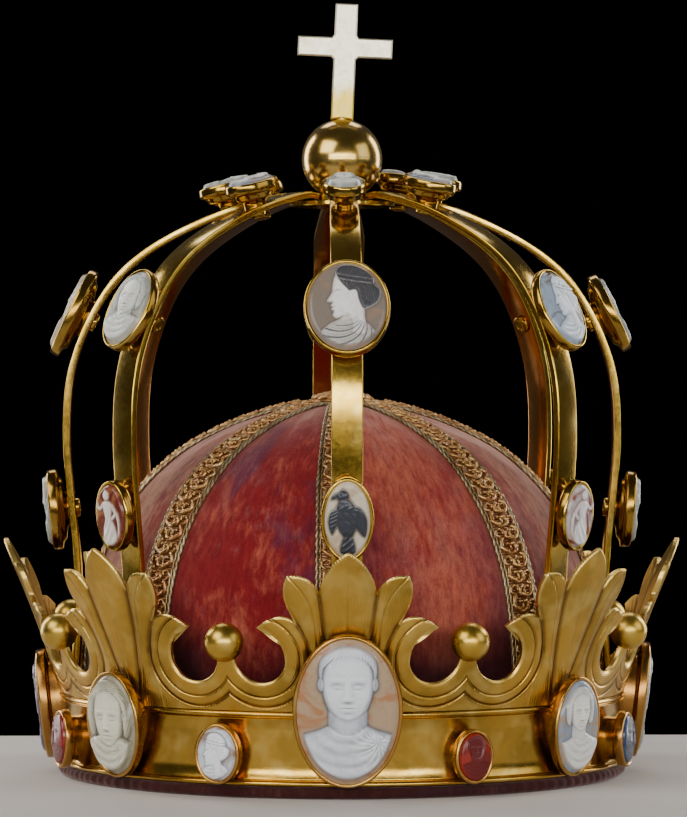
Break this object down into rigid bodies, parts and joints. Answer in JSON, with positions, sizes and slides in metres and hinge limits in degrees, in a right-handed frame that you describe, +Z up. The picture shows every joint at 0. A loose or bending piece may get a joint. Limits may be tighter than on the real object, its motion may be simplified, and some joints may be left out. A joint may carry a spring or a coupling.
{
  "type": "arched crown",
  "caption": "Arched gold crown with a leaf crest, oval carved stones, globe and cross over a crimson velvet cap.",
  "frame": {"origin": "centre of the velvet hem's underside, on the crown's axis", "axes": "+Z up through the globe and the cross, -Y towards the front fleuron, +X towards the crown's right in a front view"},
  "size_m": [0.2188, 0.2188, 0.247],
  "materials": {
    "band_gold": "polished gilt sheet",
    "leaf_gold": "satin gilt, chased",
    "strap_gold": "polished gilt",
    "globe_gold": "mirror polished gilt",
    "cross_gold": "pale satin gilt",
    "velvet": "worn crimson silk velvet",
    "hem_velvet": "purple-red velvet roll",
    "bullion": "gold thread embroidery",
    "milk_stone": "milky agate on tan",
    "white_stone": "white and blue-grey layered agate",
    "grey_stone": "grey-white layered agate",
    "cream_stone": "cream and dark layered agate",
    "dark_stone": "dark agate",
    "red_stone": "polished red cornelian",
    "blue_stone": "polished dark blue stone"
  },
  "bodies": {
    "root": {"hem": "hem_velvet", "band": "band_gold", "crest": "leaf_gold", "arch_1": "strap_gold", "arch_2": "strap_gold", "arch_3": "strap_gold", "arch_4": "strap_gold", "arch_5": "strap_gold", "arch_6": "strap_gold", "arch_7": "strap_gold", "arch_8": "strap_gold", "hub": "strap_gold", "globe": "globe_gold", "cross": "cross_gold", "cap": "velvet", "braid": "bullion", "cameo_band_1": "milk_stone", "cameo_band_2": "white_stone", "cameo_band_3": "grey_stone", "cameo_band_4": "cream_stone", "cameo_band_5": "white_stone", "cameo_band_6": "grey_stone", "cameo_band_7": "dark_stone", "cameo_band_8": "grey_stone", "gem_1": "red_stone", "gem_2": "blue_stone", "gem_3": "grey_stone", "gem_4": "red_stone", "gem_5": "white_stone", "gem_6": "blue_stone", "gem_7": "red_stone", "gem_8": "white_stone", "cameo_low_1": "cream_stone", "cameo_low_2": "white_stone", "cameo_low_3": "grey_stone", "cameo_low_4": "white_stone", "cameo_low_5": "cream_stone", "cameo_low_6": "grey_stone", "cameo_low_7": "grey_stone", "cameo_low_8": "red_stone", "cameo_mid_1": "cream_stone", "cameo_mid_2": "dark_stone", "cameo_mid_3": "grey_stone", "cameo_mid_4": "white_stone", "cameo_mid_5": "white_stone", "cameo_mid_6": "grey_stone", "cameo_mid_7": "cream_stone", "cameo_mid_8": "grey_stone", "cameo_top_1": "grey_stone", "cameo_top_2": "white_stone", "cameo_top_3": "grey_stone", "cameo_top_4": "white_stone", "cameo_top_5": "grey_stone", "cameo_top_6": "white_stone", "cameo_top_7": "grey_stone", "cameo_top_8": "white_stone"}
  },
  "joints": []
}
